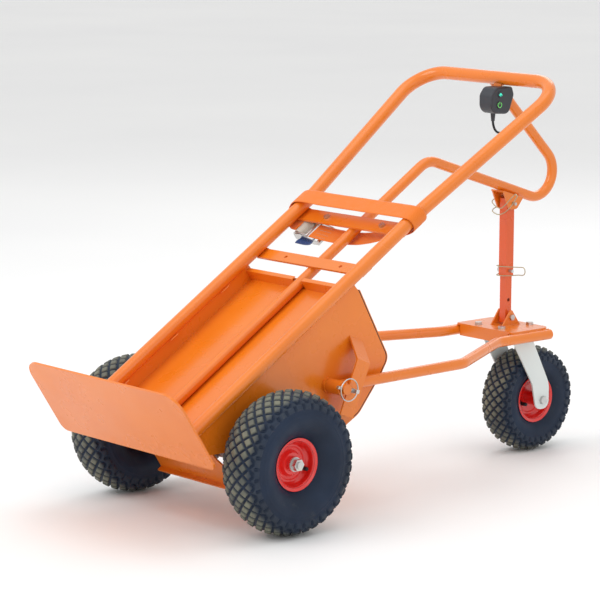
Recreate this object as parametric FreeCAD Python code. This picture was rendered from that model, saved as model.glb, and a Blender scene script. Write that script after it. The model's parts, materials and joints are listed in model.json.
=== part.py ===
"""Battery-powered three-wheel hand truck, reclined on its two drive wheels and a rear castor.

Millimetres. +X is the truck's left-hand side, +Y runs from the toe plate towards the castor and
+Z is up. The floor is Z = 0 and the origin is the centre of the footprint.
The truck body is drawn upright to itself: along the rails is Y and away from the rails' back is Z.
lean() then tips it back to the angle at which it stands.
"""
import FreeCAD, Part
import os
from math import atan2, cos, degrees, hypot, pi, radians, sin, sqrt, tan
from FreeCAD import Vector

os.makedirs("parts", exist_ok=True)

# ---- driving dimensions -----------------------------------------------------------------
LEAN = 32.5               # angle of the rails above the floor
AXLE_Y = -420.0           # drive axle, behind the toe plate
TOE_Y = -644.6            # foot of the rails, on the rails' centre plane
TOE_Z = 217.5

RAIL_OD = 32.0
RAIL_WALL = 2.0
RAIL_X = 185.0            # rail centre from the middle of the truck
KINK_S = 820.0            # where the rails start to spread into the handle
HANDLE_S = 1311.0         # centre of the handle crossbar
HANDLE_LIFT = 11.2        # the handle is bent slightly forward of the rails
HANDLE_X = 244.6
HANDLE_BEND = 80.0
TUBE_OD = 25.0            # centre tube and outrigger arms
TUBE_WALL = 2.0
CENTRE_N = -33.5          # centre tube lies under the crossbars

WHEEL_OD = 320.0          # 4.00-4 tyre
WHEEL_WIDTH = 112.0
WHEEL_X = 274.0
FLANGE_R = 59.2           # rim flange of a 4 inch rim
CASTOR_OD = 261.0         # 3.00-4 tyre
CASTOR_WIDTH = 86.0
CASTOR_TRAIL = 80.0
SHAFT_R = 10.0            # half axles
RUNNING_FIT = 0.05        # radial clearance of a bearing

PLATE_X = 185.0           # outer face of the side plates
PLATE_T = 3.0
TRAY_N = -49.0            # underside of the tray floor
TRAY_T = 2.0
TRAY_END = 562.0

PIVOT_Y = -228.0          # outrigger hinge
PIVOT_Z = 293.0
PIVOT_R = 12.0
ARM_X = 208.0
POST_Y = 516.0            # castor swivel, post and clevis stand on one line
STEER_Z = 322.0           # top of the outrigger plate
STEER_T = 5.0
CLEVIS_Z = 342.0
TOP_PIN_Z = 622.0
MID_PIN_Z = 456.0
PIN_R = 4.0
POST_TRAVEL = 65.0        # how far the post telescopes over the outrigger's travel

GAP = 0.3                 # least gap between bodies that move


# ---- helpers ----------------------------------------------------------------------------
def lean(shape):
    """Tip a shape from the truck's own axes to where the truck stands."""
    turned = shape.copy()
    turned.rotate(Vector(0, 0, 0), Vector(1, 0, 0), LEAN)
    turned.translate(Vector(0, TOE_Y, TOE_Z))
    return turned


def in_truck(y, z):
    """Standing (y, z) in the truck's own axes: along the rails, and out of them."""
    a = radians(LEAN)
    dy = y - TOE_Y
    dz = z - TOE_Z
    return dy * cos(a) + dz * sin(a), -dy * sin(a) + dz * cos(a)


def corner(before, at, after, radius):
    """The two tangent points and the middle of the arc that rounds one corner."""
    a = (before - at).normalize()
    b = (after - at).normalize()
    half = a.getAngle(b) / 2
    reach = radius / tan(half)
    middle = (a + b).normalize()
    top = at + middle * (radius / sin(half) - radius)
    return at + a * reach, top, at + b * reach


def path(points, radii):
    """Straight runs joined by tangent arcs; radii has one value per inner point."""
    edges = []
    start = points[0]
    for i in range(1, len(points) - 1):
        t1, top, t2 = corner(points[i - 1], points[i], points[i + 1], radii[i - 1])
        edges.append(Part.LineSegment(start, t1).toShape())
        edges.append(Part.Arc(t1, top, t2).toShape())
        start = t2
    edges.append(Part.LineSegment(start, points[-1]).toShape())
    return Part.Wire(edges)


def rod(points, radii, radius):
    """Round bar along a path."""
    spine = path(points, radii)
    profile = Part.Wire([Part.makeCircle(radius, points[0], points[1] - points[0])])
    return spine.makePipeShell([profile], True, False)


def tube(points, radii, outer_d, wall):
    return rod(points, radii, outer_d / 2).cut(rod(points, radii, outer_d / 2 - wall))


def outline(points, radii):
    """Closed outline with rounded corners; a radius of 0 keeps the corner sharp."""
    count = len(points)
    edges = []
    ends = []
    for i in range(count):
        if radii[i] > 0:
            ends.append(corner(points[i - 1], points[i], points[(i + 1) % count], radii[i]))
        else:
            ends.append((points[i], None, points[i]))
    for i in range(count):
        if ends[i][1] is not None:
            edges.append(Part.Arc(*ends[i]).toShape())
        edges.append(Part.LineSegment(ends[i][2], ends[(i + 1) % count][0]).toShape())
    return Part.Face(Part.Wire(edges))


def sheet_x(points, radii, x0, x1):
    """Plate standing across X: its outline is in Y and Z."""
    face = outline([Vector(x0, y, z) for y, z in points], radii)
    return face.extrude(Vector(x1 - x0, 0, 0))


def sheet_y(points, radii, y0, y1):
    face = outline([Vector(x, y0, z) for x, z in points], radii)
    return face.extrude(Vector(0, y1 - y0, 0))


def sheet_z(points, radii, z0, z1):
    face = outline([Vector(x, y, z0) for x, y in points], radii)
    return face.extrude(Vector(0, 0, z1 - z0))


def block(x0, x1, y0, y1, z0, z1):
    return Part.makeBox(x1 - x0, y1 - y0, z1 - z0, Vector(x0, y0, z0))


def bar_x(radius, x0, x1, y, z):
    return Part.makeCylinder(radius, x1 - x0, Vector(x0, y, z), Vector(1, 0, 0))


def bar_z(radius, z0, z1, x, y):
    return Part.makeCylinder(radius, z1 - z0, Vector(x, y, z0))


def ring_x(outer, inner, x0, x1, y, z):
    return bar_x(outer, x0, x1, y, z).cut(bar_x(inner, x0 - 1, x1 + 1, y, z))


def hexagon(across, x, y, z, height, axis):
    """Hexagon head or nut: its centre, height and axis ("x", "y" or "z")."""
    r = across / sqrt(3)
    ring = [(r * cos(i * pi / 3), r * sin(i * pi / 3)) for i in range(7)]
    if axis == "x":
        points = [Vector(x, y + a, z + b) for a, b in ring]
        run = Vector(height, 0, 0)
    elif axis == "y":
        points = [Vector(x + a, y, z + b) for a, b in ring]
        run = Vector(0, height, 0)
    else:
        points = [Vector(x + a, y + b, z) for a, b in ring]
        run = Vector(0, 0, height)
    return Part.Face(Part.makePolygon(points)).extrude(run)


def revolve_x(edges, y, z):
    """Turn a closed outline in the X-Z plane about the X axis, then move it to (y, z)."""
    solid = Part.Face(Part.Wire(edges)).revolve(Vector(0, 0, 0), Vector(1, 0, 0), 360)
    solid.translate(Vector(0, y, z))
    return solid


def mirror_x(shape):
    return shape.mirror(Vector(0, 0, 0), Vector(1, 0, 0))


def group(shapes):
    return Part.makeCompound(shapes)


def solids_of(shape):
    """A single clean solid when the shape has one."""
    found = shape.removeSplitter().Solids
    if len(found) == 1:
        return found[0]
    return Part.makeCompound(found)


def save(name, shape):
    assert shape.isValid(), name
    shape.exportStep("parts/" + name + ".step")


AXLE_S, AXLE_N = in_truck(AXLE_Y, WHEEL_OD / 2)
PIVOT_S, PIVOT_N = in_truck(PIVOT_Y, PIVOT_Z)


# ---- truck frame ------------------------------------------------------------------------
def rail_route():
    left = [Vector(RAIL_X, 0, 0), Vector(RAIL_X, KINK_S, 0), Vector(HANDLE_X, HANDLE_S, HANDLE_LIFT)]
    right = [Vector(-p.x, p.y, p.z) for p in reversed(left)]
    return left + right


RAIL_BENDS = [240.0, HANDLE_BEND, HANDLE_BEND, 240.0]

# The centre tube runs up under the crossbars, turns back over the post, and loops to the handle.
LOOP_RADIUS = 60.0
CENTRE_ROUTE = [Vector(0, 0, CENTRE_N), Vector(0, 1038.0, CENTRE_N), Vector(0, 1427.0, -510.0),
                Vector(0, HANDLE_S, HANDLE_LIFT)]


def handle_frame():
    return tube(rail_route(), RAIL_BENDS, RAIL_OD, RAIL_WALL)


def centre_tube():
    crossbar = bar_x(RAIL_OD / 2, -60, 60, HANDLE_S, HANDLE_LIFT)
    bent = tube(CENTRE_ROUTE, [LOOP_RADIUS, LOOP_RADIUS], TUBE_OD, TUBE_WALL)
    standing = lean(bent.cut(crossbar).Solids[0])
    inward = cable_route()[-1] - cable_route()[-2]
    entry = Part.makeCylinder(CABLE_R + 0.3, inward.Length, cable_route()[-2], inward)
    return standing.cut(entry).Solids[0]


TOE_HALF = 274.0
TOE_TOP = 151.0
TOE_BOTTOM = -53.0
TOE_T = 5.0


def toe_plate():
    points = [(-TOE_HALF, TOE_BOTTOM), (TOE_HALF, TOE_BOTTOM), (TOE_HALF, TOE_TOP), (-TOE_HALF, TOE_TOP)]
    return sheet_y(points, [20.0, 20.0, 45.0, 45.0], -TOE_T, 0.0)


CROSSBAR_T = 5.0
CROSSBAR_HALF = 184.0
LOWER_BAR_S = 622.0
UPPER_BAR_S = 773.0
LOWER_BAR_W = 32.0
UPPER_BAR_W = 40.0
BAR_HOLE_X = 95.0


def crossbar(s, width):
    """Flat bar lapped under both rails, with two slots for the load-lashing bolts."""
    top = -RAIL_OD / 2
    bar = block(-CROSSBAR_HALF, CROSSBAR_HALF, s - width / 2, s + width / 2, top - CROSSBAR_T, top)
    for x in (-BAR_HOLE_X, BAR_HOLE_X):
        bar = bar.cut(bar_z(4.5, top - CROSSBAR_T - 1, top + 1, x, s))
    return bar


def crossbar_bolts():
    """Bolts in the upper crossbar, which hold nothing while no load is lashed."""
    bolts = []
    top = -RAIL_OD / 2
    for x in (-BAR_HOLE_X, BAR_HOLE_X):
        shank = bar_z(4.0, top - CROSSBAR_T - 9, top + 0.5, x, UPPER_BAR_S)
        head = hexagon(13.0, x, UPPER_BAR_S, top, 5.5, "z")
        bolts.append(shank.fuse(head).removeSplitter())
        nut = hexagon(13.0, x, UPPER_BAR_S, top - CROSSBAR_T - 6.5, 6.5, "z")
        bolts.append(nut.cut(bar_z(4.0, top - CROSSBAR_T - 7, top, x, UPPER_BAR_S)))
    return group(bolts)


# Side plate outline in the truck's own axes: front corner, front edge, down to the axle
# carrier, along the belly, round the rear foot and up the back.
BELLY_FRONT = (121.0, -252.0)
BELLY_REAR = (430.0, -272.0)
FOOT = (520.0, -243.0)
HEEL = (566.0, -222.0)
SHOULDER = (578.0, -40.0)
PLATE_OUTLINE = [(46.0, -10.0), (47.0, -73.0), (96.0, -104.0), (117.0, -150.0), BELLY_FRONT, BELLY_REAR,
                 FOOT, HEEL, SHOULDER, (574.0, -10.0)]
PLATE_RADII = [0, 0, 25.0, 0, 0, 60.0, 60.0, 26.0, 0, 0]


def side_plate():
    plate = sheet_x(PLATE_OUTLINE, PLATE_RADII, PLATE_X - PLATE_T, PLATE_X)
    plate = plate.cut(Part.makeCylinder(RAIL_OD / 2, 700, Vector(RAIL_X, 0, 0), Vector(0, 1, 0)))
    plate = plate.cut(bar_x(SHAFT_R + 4, 0, 300, AXLE_S, AXLE_N))
    return plate.cut(bar_x(PIVOT_R, 0, 300, PIVOT_S, PIVOT_N)).Solids[0]


def deck_tray():
    """Folded sheet: floor, low side walls under the rails and a raised rear wall with a lip."""
    half = PLATE_X - PLATE_T
    floor = TRAY_N + TRAY_T
    lip = -21.5
    tray = block(-half, half, 8, TRAY_END, TRAY_N, floor)
    rear = block(-half, half, TRAY_END - TRAY_T, TRAY_END, TRAY_N, lip)
    rear = rear.fuse(block(-half, half, TRAY_END - TRAY_T, TRAY_END + 9, lip - TRAY_T, lip))
    tray = tray.fuse(rear)
    for side in (-1, 1):
        x = side * half
        wall = block(min(x, x - side * TRAY_T), max(x, x - side * TRAY_T), 8, TRAY_END, TRAY_N, -12)
        tray = tray.fuse(wall)
    notch = block(-16, 16, TRAY_END - 20, TRAY_END + 20, floor + 0.5, 0)
    tray = tray.cut(notch)
    for side in (-1, 1):
        tray = tray.cut(Part.makeCylinder(RAIL_OD / 2, 700, Vector(side * RAIL_X, 0, 0), Vector(0, 1, 0)))
    return solids_of(tray)


CARRIER_T = 4.0


def axle_carrier():
    """Cross plate in front of the axle: a raised middle, two wings and a forward lip."""
    half = PLATE_X - PLATE_T
    base = BELLY_FRONT[1]
    s = BELLY_FRONT[0]
    points = [(-half, base), (half, base), (half, base + 42), (104.0, base + 42), (64.0, base + 82),
              (64.0, TRAY_N), (-64.0, TRAY_N), (-64.0, base + 82), (-104.0, base + 42), (-half, base + 42)]
    radii = [0, 0, 0, 30.0, 30.0, 0, 0, 30.0, 30.0, 0]
    wall = sheet_y(points, radii, s - CARRIER_T, s)
    lip = block(-half, half, s - 16, s, base, base + CARRIER_T)
    return solids_of(wall.fuse(lip))


COVER_T = 2.0
SEAL_T = 2.5
COVER_FRONT_S = 236.0


def shell_strip(inner, outer, x0, x1):
    """Strip that follows the back and belly of the side plates between two offsets."""
    def shifted(gap):
        return sheet_x(grow(PLATE_OUTLINE, gap), PLATE_RADII, x0, x1)
    strip = shifted(outer).cut(shifted(inner))
    back = block(x0 - 1, x1 + 1, COVER_FRONT_S, 700, -300, SHOULDER[1] + 2)
    return strip.common(back).Solids[0]


def grow(points, gap):
    """Move each corner outwards so that every side shifts by the same gap."""
    moved = []
    count = len(points)
    for i in range(count):
        ax, ay = points[i - 1]
        bx, by = points[i]
        cx, cy = points[(i + 1) % count]
        l1 = hypot(bx - ax, by - ay)
        l2 = hypot(cx - bx, cy - by)
        n1 = ((by - ay) / l1, -(bx - ax) / l1)
        n2 = ((cy - by) / l2, -(cx - bx) / l2)
        k = gap / (1 + n1[0] * n2[0] + n1[1] * n2[1])
        moved.append((bx + (n1[0] + n2[0]) * k, by + (n1[1] + n2[1]) * k))
    return moved


def rear_cover():
    """Bent sheet that closes the back and belly of the battery bay."""
    cover = shell_strip(SEAL_T, SEAL_T + COVER_T, -PLATE_X, PLATE_X)
    notch = Part.makeCylinder(TUBE_OD / 2 + 1, 100, Vector(0, SHOULDER[0] - 50, CENTRE_N), Vector(0, 1, 0))
    return cover.cut(notch).Solids[0]


def cover_seals():
    left = shell_strip(0.0, SEAL_T, PLATE_X - 12, PLATE_X)
    return group([left, mirror_x(left)])


def bay_wall():
    """Wall that closes the battery bay towards the drive."""
    half = PLATE_X - PLATE_T
    s = COVER_FRONT_S
    return block(-half, half, s, s + COVER_T, -256, TRAY_N)


def cover_screws():
    """Button-head screws along both edges of the rear cover."""
    screws = []
    run = Vector(0, SHOULDER[0] - HEEL[0], SHOULDER[1] - HEEL[1])
    out = Vector(0, run.z, -run.y).normalize()
    for share in (0.23, 0.53, 0.83):
        for x in (-PLATE_X + 7, PLATE_X - 7):
            at = Vector(x, HEEL[0], HEEL[1]) + run * share + out * (SEAL_T + COVER_T)
            head = Part.makeCylinder(4.2, 2.6, at, out)
            screws.append(head.cut(Part.makeCylinder(1.6, 2.0, at + out * 1.3, out)))
    return group(screws)


def pivot_shaft():
    """Cross shaft through the bay, with a welded boss at each side plate."""
    shaft = bar_x(PIVOT_R, -SHAFT_END, SHAFT_END, PIVOT_Y, PIVOT_Z)
    for side in (-1, 1):
        a = side * PLATE_X
        b = side * SLEEVE_IN
        shaft = shaft.fuse(bar_x(18.0, min(a, b), max(a, b), PIVOT_Y, PIVOT_Z))
        shaft = shaft.cut(linch_bore(side, PIN_R + 0.2))
    return solids_of(shaft)


LINCH_X = 244.0
LINCH_TILT = -16.5
SHAFT_END = 252.0
SLEEVE_IN = ARM_X - 14.0
SLEEVE_OUT = 238.0


def linch_bore(side, radius):
    hole = Part.makeCylinder(radius, 80, Vector(side * LINCH_X, PIVOT_Y - 40, PIVOT_Z), Vector(0, 1, 0))
    hole.rotate(Vector(0, PIVOT_Y, PIVOT_Z), Vector(1, 0, 0), LINCH_TILT)
    return hole


KEEPER_W = 40.0
KEEPER_T = 4.0
KEEPER_TOP = (-163.0, 345.0)
KEEPER_FOOT = (-212.0, 229.0)
KEEPER_OUT = 229.0


def keeper_brackets():
    """Hat-shaped straps on the side plates that hold the arms in line."""
    run_y = KEEPER_TOP[0] - KEEPER_FOOT[0]
    run_z = KEEPER_TOP[1] - KEEPER_FOOT[1]
    length = hypot(run_y, run_z)
    depth = KEEPER_OUT - PLATE_X
    points = [(PLATE_X, -depth), (KEEPER_OUT, 0.0), (KEEPER_OUT, length), (PLATE_X, length + depth)]
    step = KEEPER_T * tan(pi / 8)
    outer = [(PLATE_X, -depth - KEEPER_T * sqrt(2)), (KEEPER_OUT + KEEPER_T, -step),
             (KEEPER_OUT + KEEPER_T, length + step), (PLATE_X, length + depth + KEEPER_T * sqrt(2))]
    face = Part.Face(Part.makePolygon([Vector(x, -KEEPER_W / 2, z) for x, z in points + outer[::-1]]
                                      + [Vector(PLATE_X, -KEEPER_W / 2, -depth)]))
    strap = face.extrude(Vector(0, KEEPER_W, 0))
    strap.rotate(Vector(0, 0, 0), Vector(1, 0, 0), -degrees(atan2(run_y, run_z)))
    strap.translate(Vector(0, KEEPER_FOOT[0], KEEPER_FOOT[1]))
    return group([strap, mirror_x(strap)])


EAR_IN = 17.0
EAR_T = 4.0


def post_bracket():
    """Channel under the centre tube; its two ears carry the post's top pin."""
    slope = radians(18.2)
    top_z = 645.5
    web = block(-EAR_IN - EAR_T, EAR_IN + EAR_T, -35, 35, -4.0, 0.0)
    web.rotate(Vector(0, 0, 0), Vector(1, 0, 0), -degrees(slope))
    web.translate(Vector(0, POST_Y, top_z))
    drop = 35 * sin(slope)
    wide = 35 * cos(slope)
    points = [(POST_Y - wide, top_z + drop - 2), (POST_Y + wide, top_z - drop - 2), (POST_Y + 13, TOP_PIN_Z - 14),
              (POST_Y - 13, TOP_PIN_Z - 14)]
    ears = []
    for side in (-1, 1):
        x = side * EAR_IN
        ear = sheet_x(points, [0, 0, 11.0, 11.0], x, x + side * EAR_T)
        ears.append(ear)
    bracket = web.fuse(ears)
    bracket = bracket.cut(bar_x(PIN_R + 0.2, -40, 40, POST_Y, TOP_PIN_Z))
    a, b = CENTRE_ROUTE[1], CENTRE_ROUTE[2]
    bore = lean(Part.makeCylinder(TUBE_OD / 2, 500, a, b - a))
    return solids_of(bracket.cut(bore))


# ---- battery bay and drive --------------------------------------------------------------
def battery_pack():
    box = block(-120, 120, 300, 540, TRAY_N - 92, TRAY_N)
    return box.makeFillet(6.0, [e for e in box.Edges if abs(e.tangentAt(0).z) > 0.9])


def motor_controller():
    """Finned controller on the inner face of the left side plate."""
    inner = PLATE_X - PLATE_T
    body = block(inner - 34, inner, 262, 372, -232, -150)
    for i in range(8):
        s = 268 + i * 13.0
        body = body.fuse(block(inner - 46, inner - 33, s, s + 3, -230, -152))
    return solids_of(body)


GEARBOX_R = 26.0
GEARBOX_HALF = 70.0
MOTOR_R = 34.0            # the motor lies over the axle, between the carrier and the bay wall
MOTOR_Y = AXLE_Y - 24.0
MOTOR_Z = WHEEL_OD / 2 + 78.0


def transaxle():
    """Differential gearbox round the axle, with its foot on the axle carrier."""
    z = WHEEL_OD / 2
    body = bar_x(GEARBOX_R, -GEARBOX_HALF, GEARBOX_HALF, AXLE_Y, z)
    body = body.fuse(bar_x(MOTOR_R + 4, -62, -44, MOTOR_Y, MOTOR_Z))
    bridge = sheet_x([(AXLE_Y - 24, z), (AXLE_Y + 24, z), (MOTOR_Y + MOTOR_R, MOTOR_Z),
                      (MOTOR_Y - MOTOR_R, MOTOR_Z)], [0, 0, 0, 0], -60, -46)
    body = body.fuse(bridge)
    foot = lean(block(-50, 50, BELLY_FRONT[0], BELLY_FRONT[0] + 16, AXLE_N - 16, AXLE_N + 22))
    body = body.fuse(foot)
    for side in (-1, 1):
        a = side * (GEARBOX_HALF - 20)
        b = side * (GEARBOX_HALF + 1)
        body = body.cut(bar_x(SHAFT_R + RUNNING_FIT, min(a, b), max(a, b), AXLE_Y, z))
    return solids_of(body)


def drive_motor():
    body = bar_x(MOTOR_R, -44, 92, MOTOR_Y, MOTOR_Z)
    body = body.fuse(bar_x(MOTOR_R - 8, 92, 100, MOTOR_Y, MOTOR_Z))
    return solids_of(body)


def axle_bearings():
    """Flanged bearing blocks inside the side plates."""
    z = WHEEL_OD / 2
    inner = PLATE_X - PLATE_T
    blocks = []
    for side in (-1, 1):
        a = side * inner
        b = side * (inner - 6)
        c = side * (inner - 20)
        flange = lean(block(min(a, b), max(a, b), AXLE_S - 32, AXLE_S + 32, AXLE_N - 32, AXLE_N + 32))
        boss = bar_x(24.0, min(b, c), max(b, c), AXLE_Y, z)
        bearing = flange.fuse(boss)
        bore = bar_x(SHAFT_R + RUNNING_FIT, -200, 200, AXLE_Y, z)
        blocks.append(solids_of(bearing.cut(bore)))
    return group(blocks)


# ---- drive wheels -----------------------------------------------------------------------
DISC_T = 2.4


def tyre(outer_r, half_width, y, z):
    """Pneumatic tyre: beads inside the rim flanges, full side walls and a round crown."""
    seat = 51.2
    bulge_r = (outer_r + FLANGE_R) / 2
    shoulder_x = half_width * 0.82
    shoulder_r = outer_r - (outer_r - FLANGE_R) * 0.13
    skin = 8.0
    bead = 28.3
    rise = FLANGE_R + 1.4

    outer = [(bead, rise), (half_width, bulge_r), (shoulder_x, shoulder_r), (0, outer_r)]
    inner = [(bead - skin, rise), (half_width - skin, bulge_r), (shoulder_x - skin * 0.8, shoulder_r - skin * 0.8),
             (0, outer_r - skin)]

    def v(p):
        return Vector(p[0], 0, p[1])

    def flip(p):
        return Vector(-p[0], 0, p[1])
    edges = []
    for line in (outer, inner):
        edges.append(Part.Arc(v(line[0]), v(line[1]), v(line[2])).toShape())
        edges.append(Part.Arc(v(line[2]), v(line[3]), flip(line[2])).toShape())
        edges.append(Part.Arc(flip(line[2]), flip(line[1]), flip(line[0])).toShape())
    for place in (v, flip):
        foot = [place((bead, rise)), place((bead, seat)), place((bead - skin, seat)), place((bead - skin, rise))]
        for a, b in zip(foot, foot[1:]):
            edges.append(Part.LineSegment(a, b).toShape())
    loop = Part.Wire(Part.__sortEdges__(edges))
    solid = Part.Face(loop).revolve(Vector(0, 0, 0), Vector(1, 0, 0), 360)
    solid.translate(Vector(0, y, z))
    return solid


def rim(y, z, disc_x, hub_r):
    """Pressed steel rim: flanges, bead seats, well and one disc."""
    t = DISC_T
    well = 41.0
    profile = [(31.0, FLANGE_R), (28.6, FLANGE_R), (28.6, 51.0), (13.0, 51.0), (8.0, well + t), (-8.0, well + t),
               (-13.0, 51.0), (-28.6, 51.0), (-28.6, FLANGE_R), (-31.0, FLANGE_R), (-31.0, 51.0 - t),
               (-14.0, 51.0 - t), (-9.0, well), (9.0, well), (14.0, 51.0 - t), (31.0, 51.0 - t)]
    edges = []
    for i in range(len(profile)):
        a = profile[i]
        b = profile[(i + 1) % len(profile)]
        edges.append(Part.LineSegment(Vector(a[0], 0, a[1]), Vector(b[0], 0, b[1])).toShape())
    body = revolve_x(edges, 0, 0)
    body = body.fuse(ring_x(well + 0.5, hub_r, disc_x, disc_x + t, 0, 0))
    body = solids_of(body)
    body.translate(Vector(0, y, z))
    return body


HUB_R = 17.0
HUB_OUT = 22.0
HUB_IN = -48.0
DISC_X = 4.0
COLLAR_R = 30.0


def drive_hub(y, z):
    """Keyed hub: a barrel on the half axle with a domed collar welded to the rim's disc."""
    barrel = bar_x(HUB_R, HUB_IN, HUB_OUT, 0, 0)
    face = DISC_X + DISC_T
    collar = Part.makeCone(COLLAR_R, COLLAR_R - 6, 8.0, Vector(face, 0, 0), Vector(1, 0, 0))
    hub = barrel.fuse(collar).cut(bar_x(SHAFT_R, HUB_IN - 1, HUB_OUT + 1, 0, 0))
    hub = solids_of(hub)
    hub.translate(Vector(0, y, z))
    return hub


def half_axle():
    """Left half axle from the gearbox to the wheel, with its washer and nut."""
    z = WHEEL_OD / 2
    out = WHEEL_X + HUB_OUT
    shaft = bar_x(SHAFT_R, GEARBOX_HALF - 18, out, AXLE_Y, z).fuse(bar_x(8.0, out, out + 20, AXLE_Y, z))
    washer = ring_x(16.0, 8.0, out, out + 3, AXLE_Y, z)
    nut = hexagon(24.0, out + 3, AXLE_Y, z, 13.0, "x").cut(bar_x(8.0, out, out + 30, AXLE_Y, z))
    return group([solids_of(shaft), washer, nut])


def drive_wheel(side, name):
    """Tyre, rim, hub and half axle of one side."""
    z = WHEEL_OD / 2
    shapes = {"tyre": tyre(WHEEL_OD / 2, WHEEL_WIDTH / 2, AXLE_Y, z),
              "rim": rim(AXLE_Y, z, DISC_X, HUB_R),
              "hub": drive_hub(AXLE_Y, z)}
    for shape in shapes.values():
        shape.translate(Vector(WHEEL_X, 0, 0))
    shapes["half_axle"] = half_axle()
    for kind, shape in shapes.items():
        save(kind + "_" + name, shape if side > 0 else mirror_x(shape))


# ---- outrigger --------------------------------------------------------------------------
ARM_END_X = 96.0
ARM_END_Z = STEER_Z - STEER_T - TUBE_OD / 2
PLATE_FRONT = POST_Y - 74.0
PLATE_REAR = POST_Y + 58.0
STEER_HALF = 96.0


def outrigger_arm():
    """Left arm: a hinge sleeve, a straight run past the bay and a joggle in to the plate."""
    points = [Vector(ARM_X, PIVOT_Y, PIVOT_Z), Vector(ARM_X, 170, PIVOT_Z + 4), Vector(ARM_END_X, 392, ARM_END_Z),
              Vector(ARM_END_X, PLATE_REAR - 4, ARM_END_Z)]
    arm = tube(points, [60.0, 60.0], TUBE_OD, TUBE_WALL)
    sleeve_r = PIVOT_R + 4.5
    arm = arm.cut(bar_x(sleeve_r, ARM_X - 60, ARM_X + 60, PIVOT_Y, PIVOT_Z))
    arm = max(arm.Solids, key=lambda s: s.Volume)
    sleeve = ring_x(sleeve_r, PIVOT_R + RUNNING_FIT, SLEEVE_IN + GAP, SLEEVE_OUT, PIVOT_Y, PIVOT_Z)
    cap = Part.makeCylinder(TUBE_OD / 2, 3.0, Vector(ARM_END_X, PLATE_REAR - 4, ARM_END_Z), Vector(0, 1, 0))
    return solids_of(arm.fuse([sleeve, cap]))


CASTOR_HOLES = [(x, y) for x in (-40.0, 40.0) for y in (-52.0, 45.0)]


def outrigger_plate():
    """Flat plate over both arms with a turned-down front edge between them."""
    low = STEER_Z - STEER_T
    points = [(-STEER_HALF, PLATE_FRONT), (STEER_HALF, PLATE_FRONT), (STEER_HALF, PLATE_REAR),
              (-STEER_HALF, PLATE_REAR)]
    plate = sheet_z(points, [8.0, 8.0, 20.0, 20.0], low, STEER_Z)
    flange_half = ARM_END_X - TUBE_OD / 2 - 1
    plate = plate.fuse(block(-flange_half, flange_half, PLATE_FRONT, PLATE_FRONT + STEER_T, STEER_Z - 30, STEER_Z))
    for x, y in CASTOR_HOLES:
        plate = plate.cut(bar_z(5.0, low - 1, STEER_Z + 1, x, POST_Y + y))
    return solids_of(plate)


def clevis_ears():
    """Two triangular ears on the plate that carry the foot of the post."""
    points = [(POST_Y - 30, STEER_Z), (POST_Y + 30, STEER_Z), (POST_Y + 3, CLEVIS_Z + 17),
              (POST_Y - 3, CLEVIS_Z + 17)]
    ears = []
    for side in (-1, 1):
        x = side * EAR_IN
        ear = sheet_x(points, [0, 0, 2.5, 2.5], x, x + side * EAR_T)
        ears.append(ear.cut(bar_x(PIN_R, -40, 40, POST_Y, CLEVIS_Z)))
    return group(ears)


def clevis_bolt():
    """Bolt through both ears and the foot of the post, with its nut."""
    out = EAR_IN + EAR_T
    shank = bar_x(PIN_R, -out - 9, out, POST_Y, CLEVIS_Z)
    head = hexagon(13.0, out, POST_Y, CLEVIS_Z, 5.5, "x")
    nut = hexagon(13.0, -out - 6.5, POST_Y, CLEVIS_Z, 6.5, "x")
    return group([solids_of(shank.fuse(head)), nut.cut(bar_x(PIN_R, -60, 60, POST_Y, CLEVIS_Z))])


CASTOR_PLATE_T = 5.0
CASTOR_TOP = STEER_Z - STEER_T


def castor_bolts():
    bolts = []
    low = CASTOR_TOP - CASTOR_PLATE_T
    for x, y in CASTOR_HOLES:
        cy = POST_Y + y
        shank = bar_z(5.0, low - 8.5, STEER_Z + 0.5, x, cy)
        head = hexagon(16.0, x, cy, STEER_Z, 6.4, "z")
        bolts.append(solids_of(shank.fuse(head)))
        bolts.append(hexagon(16.0, x, cy, low - 8, 8.0, "z").cut(bar_z(5.0, low - 10, low + 1, x, cy)))
    return group(bolts)


def castor_plate():
    """Castor top plate with the fixed upper race of the swivel."""
    low = CASTOR_TOP - CASTOR_PLATE_T
    points = [(-52.0, POST_Y - 66), (52.0, POST_Y - 66), (52.0, POST_Y + 57), (-52.0, POST_Y + 57)]
    plate = sheet_z(points, [10.0] * 4, low, CASTOR_TOP)
    plate = plate.fuse(bar_z(27.0, low - 9, low, 0, POST_Y))
    plate = plate.cut(bar_z(8.0 + 0.1, low - 20, CASTOR_TOP - 1, 0, POST_Y))
    for x, y in CASTOR_HOLES:
        plate = plate.cut(bar_z(5.0, low - 1, CASTOR_TOP + 1, x, POST_Y + y))
    return solids_of(plate)


FORK_TOP = CASTOR_TOP - CASTOR_PLATE_T - 9 - GAP
FORK_CROWN_T = 5.0
FORK_X = 50.0
FORK_T = 4.0
CASTOR_Y = POST_Y + CASTOR_TRAIL
CASTOR_Z = CASTOR_OD / 2


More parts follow.
